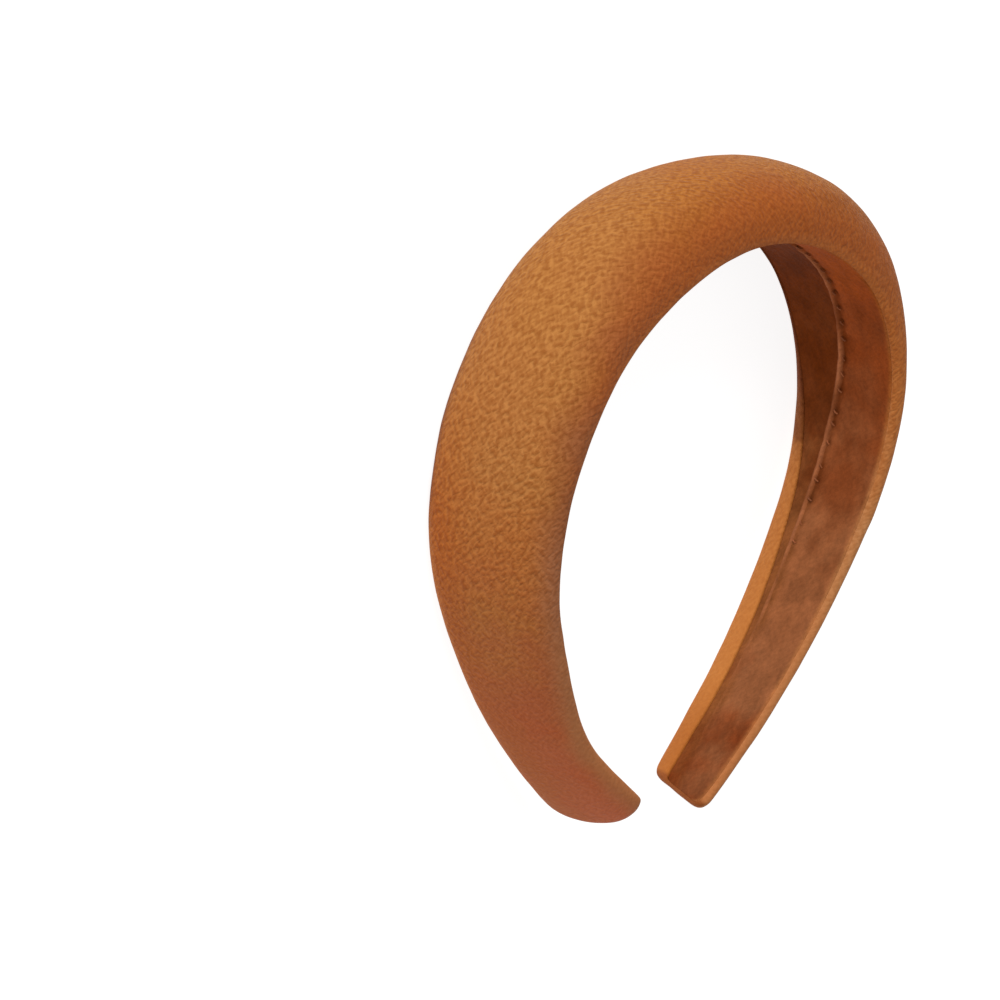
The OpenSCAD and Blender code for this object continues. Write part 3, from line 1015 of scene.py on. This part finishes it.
# the facing's tones; the back part's dark stretch from the crown to about halfway is partly the cloth's own
# tone and partly painted shade, where the crown shades the facing
INNER_BACK_SHADED = [(0.0, (0.15, 0.025, 0.001)), (0.35, (0.138, 0.026, 0.002)), (0.5, (0.145, 0.034, 0.007)),
              (0.62, (0.23, 0.074, 0.021)), (0.85, (0.24, 0.076, 0.021)), (1.0, (0.15, 0.025, 0.003))]
INNER_FRONT = [(0.0, (0.41, 0.082, 0.007)), (0.3, (0.29, 0.056, 0.009)), (0.5, (0.225, 0.056, 0.015)),
               (0.65, (0.27, 0.090, 0.032)), (0.85, (0.28, 0.098, 0.037)), (1.0, (0.17, 0.031, 0.005))]
# painted highlight along the seam's ridge, at shares of the way to a tip
RIDGE_HIGHLIGHT = [(0.0, (0.25, 0.065, 0.018)), (0.4, (0.44, 0.150, 0.060)), (0.7, (0.38, 0.135, 0.058)),
        (1.0, (0.32, 0.11, 0.045))]
BACK_SIDE, TIP_END, WORN = (0.355, 0.086, 0.007), (0.27, 0.072, 0.012), (0.42, 0.075, 0.012)
# the first is the colour of the painted shade in the seam's crease and stitch pits, the second the thread's
PIT_SHADE_TONE, THREAD = (0.07, 0.014, 0.002), (0.30, 0.09, 0.030)
# what the pile's valleys and crests do to the cloth's colour
VALLEY, CREST = (0.78, 0.64, 0.44), (1.16, 1.20, 1.30)
# a darker belt of painted shade where the dome turns into the front roll
BELT = (0.93, 0.90, 0.82)

# Ranges of the cover's tones: from and to, and what they become where that isn't 0 to 1. Those
# named ALONG are shares of the way to a tip, and those named ACROSS metres round the band from
# the dome's top. LIT_RIGHT_LEG is metres from the crown.
COVER_PATCHES, COVER_WANDER, FRONT_WANDER = 38.0, (0, 1, -0.07, 0.07), 2.0
FRONT_FADE = (0.1, 0.95)
BACKWARD_ACROSS, BACKWARD_ALONG = (0.001, 0.014, 0, 0.8), (0.35, 0.5)
LOWER_ACROSS, LOWER_ALONG = (-0.006, 0.011, 0, 0.85), (0.66, 0.82)
# from where along the right leg its front roll takes the rim's painted light instead of the painted shade
LIT_RIGHT_LEG = (0.035, 0.08)
BELT_RISE, BELT_FALL, BELT_ALONG = (0, 0.6), (0.5, 1, 1, 0), (0.46, 0.66, 1, 0)
WORN_PATCHES, WORN_TONE, WORN_ALONG, OFF_EDGES = 95.0, (0.55, 0.95), (0.62, 0.8, 0, 0.3), (0, 0.6, 1, 0)
GRAIN_ALONG, GRAIN_FRONT, GRAIN_BACK = (0.5, 0.82, 1.0, 0.4), (0, 1, 1.0, 0.7), (0, 1, 1.0, 0.6)
PILE = (0.15, 0.85)
COVER_BUMP, INNER_BUMP = (0.0006, 0.55), (0.0003, 0.4)
# the same for the inner cloth and the thread
INNER_PATCHES, INNER_WANDER, SIDE_WANDER, SIDE_FADE = 60.0, (0, 1, -0.08, 0.08), 8.0, (-0.6, 1.4)
MOTTLE_PATCHES, MOTTLE = 120.0, (0, 1, 0.88, 1.1)
PIT_TONE = (0, 1, 0, 0.75)
INNER_GRAIN, INNER_FUZZ, INNER_NAP = 1100.0, 0.45, (0.82, 1.12)
STREAK_LONG, STREAK_PATCHES, STREAK = (0.5, 1.0, 1.0), 300.0, (0, 1, 0.86, 1.08)
THREAD_PATCHES, THREAD_TONE = 240.0, (0, 1, 0.72, 1.2)


def cover_material():
    mat, n, link, shader = new_material("cover_velvet")
    velvet_shader(shader, COVER_GLOSS)
    band, along, girth, share = band_map(n, link)
    wander = ranged(n, link, patchy(n, link, COVER_PATCHES), *COVER_WANDER)
    place = sums(n, link, "ADD", share, wander)
    camel, shaded_front, rim, back_light_and_shade = (colour_ramp(n, link, place, stops)
                                  for stops in (CAMEL, SHADED_FRONT, RIM, BACK_LIGHT_AND_SHADE))
    # where the front roll's painted shade and painted light go, with a wandering edge
    front = sums(n, link, "ADD", point_attribute(n, "front_roll"), product(n, link, wander, FRONT_WANDER))
    front = ranged(n, link, front, *FRONT_FADE, soft=True)
    back = ranged(n, link, point_attribute(n, "back_roll"), 0, 1, soft=True)
    # the back half of each leg's outer side is a stronger orange
    backward = product(n, link, ranged(n, link, girth, *BACKWARD_ACROSS, soft=True),
                       ranged(n, link, share, *BACKWARD_ALONG))
    lower = product(n, link, ranged(n, link, girth, *LOWER_ACROSS, soft=True),
                    ranged(n, link, share, *LOWER_ALONG))
    backward = sums(n, link, "MAXIMUM", backward, lower)
    # the front roll's painted shade on the crown and the left leg, and its painted light on the right leg
    front_light_and_shade = mixed(n, link, ranged(n, link, along, *LIT_RIGHT_LEG), shaded_front, rim)
    tone = mixed(n, link, front, mixed(n, link, backward, camel, BACK_SIDE), front_light_and_shade)
    # painted shade in the belt where the dome turns into the front roll
    belt = product(n, link, ranged(n, link, front, *BELT_RISE, soft=True),
                   ranged(n, link, front, *BELT_FALL, soft=True),
                   ranged(n, link, place, *BELT_ALONG, soft=True))
    tone = mixed(n, link, belt, tone, times(n, link, tone, BELT))
    tone = mixed(n, link, ranged(n, link, point_attribute(n, "front_rim"), 0, 1, soft=True), tone, rim)
    # painted light on the back roll, and painted shade on it near the crown
    tone = mixed(n, link, back, tone, back_light_and_shade)
    tone = mixed(n, link, point_attribute(n, "tip_rim"), tone, TIP_END)
    # worn, redder patches on the legs
    worn = product(n, link, ranged(n, link, share, *WORN_ALONG, soft=True),
                   ranged(n, link, patchy(n, link, WORN_PATCHES), *WORN_TONE, soft=True),
                   ranged(n, link, sums(n, link, "ADD", front, back), *OFF_EDGES))
    tone = mixed(n, link, worn, tone, WORN)
    # grain is strong from the crown to the sides, and fades on the legs and the rolled edges
    relief = grouped(n, link, NAP, "Map", band)["Relief"]
    fade = product(n, link, ranged(n, link, share, *GRAIN_ALONG), ranged(n, link, front, *GRAIN_FRONT),
                   ranged(n, link, back, *GRAIN_BACK))
    fleck = mixed(n, link, ranged(n, link, relief, *PILE), VALLEY, CREST)
    link(mixed(n, link, fade, tone, fleck, "MULTIPLY"), shader.inputs["Base Color"])
    bumped(n, link, shader, product(n, link, relief, fade), *COVER_BUMP)
    return mat


def inner_material(name, welt=None):
    """The facing's cloth, and the seam's, whose ridge has the painted highlight of the ramp given."""
    mat, n, link, shader = new_material(name)
    velvet_shader(shader, INNER_GLOSS)
    band, _, _, share = band_map(n, link)
    wander = ranged(n, link, patchy(n, link, INNER_PATCHES), *INNER_WANDER)
    place = sums(n, link, "ADD", share, wander)
    side = sums(n, link, "ADD", point_attribute(n, "front_side"), product(n, link, wander, SIDE_WANDER))
    side = ranged(n, link, side, *SIDE_FADE, soft=True)
    tone = mixed(n, link, side, colour_ramp(n, link, place, INNER_BACK_SHADED),
                 colour_ramp(n, link, place, INNER_FRONT))
    tone = mixed(n, link, point_attribute(n, "lap"), tone, colour_ramp(n, link, place, RIM))
    tone = times(n, link, tone, ranged(n, link, patchy(n, link, MOTTLE_PATCHES), *MOTTLE))
    # painted highlight on the seam's ridge
    if welt:
        tone = mixed(n, link, point_attribute(n, "ridge"), tone, colour_ramp(n, link, place, welt))
    # painted shade in the crease beside the seam and in the stitch pits
    tone = mixed(n, link, ranged(n, link, point_attribute(n, "pit"), *PIT_TONE), tone, PIT_SHADE_TONE)
    relief = grouped(n, link, NAP, "Map", band, Grain_scale=INNER_GRAIN, Fuzz_share=INNER_FUZZ)["Relief"]
    tone = times(n, link, tone, ranged(n, link, relief, *PILE, *INNER_NAP))
    # the pile is brushed into streaks along the band
    brushed = new_node(n, "ShaderNodeMapping", {"Scale": STREAK_LONG})
    link(band, brushed.inputs["Vector"])
    streak = stroked(n, link, brushed.outputs[0], STREAK_PATCHES)
    tone = times(n, link, tone, ranged(n, link, streak, *STREAK))
    link(tone, shader.inputs["Base Color"])
    bumped(n, link, shader, relief, *INNER_BUMP)
    return mat


def thread_material():
    mat, n, link, shader = new_material("seam_thread")
    velvet_shader(shader, THREAD_GLOSS)
    tone = ranged(n, link, patchy(n, link, THREAD_PATCHES), *THREAD_TONE)
    link(times(n, link, THREAD, tone), shader.inputs["Base Color"])
    return mat


cover.data.materials.append(cover_material())
facing.data.materials.append(inner_material("facing_velvet"))
seam.data.materials.append(inner_material("seam_velvet", RIDGE_HIGHLIGHT))
threads = stitches(thread_material())

for piece, node, slot in ((cover, "padded_cover", "cover_velvet"), (facing, "inner_facing", "facing_velvet"),
                          (seam, "seam_welt", "seam_velvet")):
    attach(piece, "root")
    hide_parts(node)
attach(threads, "root")


# Floor, light and camera

FLOOR_HALF = 4.0
FLOOR_GREY, FLOOR_ROUGHNESS, FLOOR_GLOW = (0.35, 0.35, 0.35, 1), 0.9, 0.85
SOFT_LIGHT, SEEN_LIGHT, WHITE = 0.545, 1.0, (1, 1, 1, 1)
NEAR_CLIP, FAR_CLIP = 0.05, 20
KEY_BACK, KEY_RIGHT, KEY_UP = 0.8, 0.12, 0.55
KEY_FAR, KEY_SIZE, KEY_POWER, KEY_COLOUR = 1.2, 0.5, 8.6, (1.0, 0.98, 0.95)


def floor_material():
    """Pale and shining by itself, so that it shows next to no shadow."""
    mat, _, _, shader = new_material("pale_floor")
    shader.inputs["Base Color"].default_value = FLOOR_GREY
    shader.inputs["Roughness"].default_value = FLOOR_ROUGHNESS
    shader.inputs["Specular IOR Level"].default_value = 0.0
    shader.inputs["Emission Color"].default_value = WHITE
    shader.inputs["Emission Strength"].default_value = FLOOR_GLOW
    return mat


floor_mesh = bpy.data.meshes.new("floor")
floor_mesh.from_pydata([(x * FLOOR_HALF, y * FLOOR_HALF, 0) for x, y in ((-1, -1), (1, -1), (1, 1), (-1, 1))],
                       [], [(0, 1, 2, 3)])
floor_mesh.materials.append(floor_material())
floor = new_object("floor", floor_mesh)

# the camera sees the world white, and the headband is lit more softly by it
world = bpy.data.worlds.new("studio")
world.use_nodes = True
wn, wl = world.node_tree.nodes, world.node_tree.links.new
soft_light, seen = wn["Background"], wn.new("ShaderNodeBackground")
for shine, strength in ((soft_light, SOFT_LIGHT), (seen, SEEN_LIGHT)):
    shine.inputs["Color"].default_value = WHITE
    shine.inputs["Strength"].default_value = strength
ray, both = wn.new("ShaderNodeLightPath"), wn.new("ShaderNodeMixShader")
wl(ray.outputs["Is Camera Ray"], both.inputs["Fac"])
wl(soft_light.outputs[0], both.inputs[1])
wl(seen.outputs[0], both.inputs[2])
wl(both.outputs[0], wn["World Output"].inputs["Surface"])
bpy.context.scene.world = world


def camera_axes():
    """Right, up and back of the camera, and the point it is aimed by, in the part's frame."""
    az, el, ro = (math.radians(VIEW[k]) for k in ("azimuth", "elevation", "roll"))
    back = np.array([-math.sin(az) * math.cos(el), math.sin(el), math.cos(az) * math.cos(el)])
    level = np.array([math.cos(az), 0.0, math.sin(az)])
    above = np.cross(back, level)
    right = math.cos(ro) * level + math.sin(ro) * above
    up = -math.sin(ro) * level + math.cos(ro) * above
    middle = (BODY.min(0) + BODY.max(0)) / 2
    middle[0] = 0
    return [turned(v) for v in (right, up, back)], laid(middle)


def unit(v):
    return v / np.linalg.norm(v)


(cam_right, cam_up, cam_back), aim = camera_axes()
stand = aim + cam_back * VIEW["distance"] * MM
focal_px = VIEW["px_per_mm"] * VIEW["distance"]
cam = bpy.data.cameras.new("camera")
cam.sensor_width = SENSOR_MM
cam.lens = SENSOR_MM * focal_px / FRAME_PX
cam.clip_start, cam.clip_end = NEAR_CLIP, FAR_CLIP
# the camera is turned a little off the headband, which puts it where it is in the photograph
aside = (VIEW["middle_px"] - FRAME_PX / 2) / focal_px
below = (FRAME_PX / 2 - VIEW["middle_py"]) / focal_px
new_back = unit(cam_back + cam_right * aside + cam_up * below)
new_right = unit(np.cross(cam_up, new_back))
new_up = np.cross(new_back, new_right)
frame_matrix = np.eye(4)
frame_matrix[:3, :] = np.stack([new_right, new_up, new_back, stand], 1)
cam_obj = new_object("camera", cam)
cam_obj.matrix_world = Matrix(frame_matrix.tolist())
bpy.context.scene.camera = cam_obj

# one square key light, placed by the camera's own directions and aimed at the headband
spot = Vector(aim + unit(cam_back * KEY_BACK + cam_right * KEY_RIGHT + cam_up * KEY_UP) * KEY_FAR)
key = bpy.data.lights.new("key", "AREA")
key.shape, key.size, key.energy, key.color = "SQUARE", KEY_SIZE, KEY_POWER, KEY_COLOUR
key_obj = new_object("key", key)
key_obj.location = spot
key_obj.rotation_mode = "QUATERNION"
key_obj.rotation_quaternion = (spot - Vector(aim)).to_track_quat("Z", "Y")
bpy.context.scene.view_settings.view_transform = "Standard"
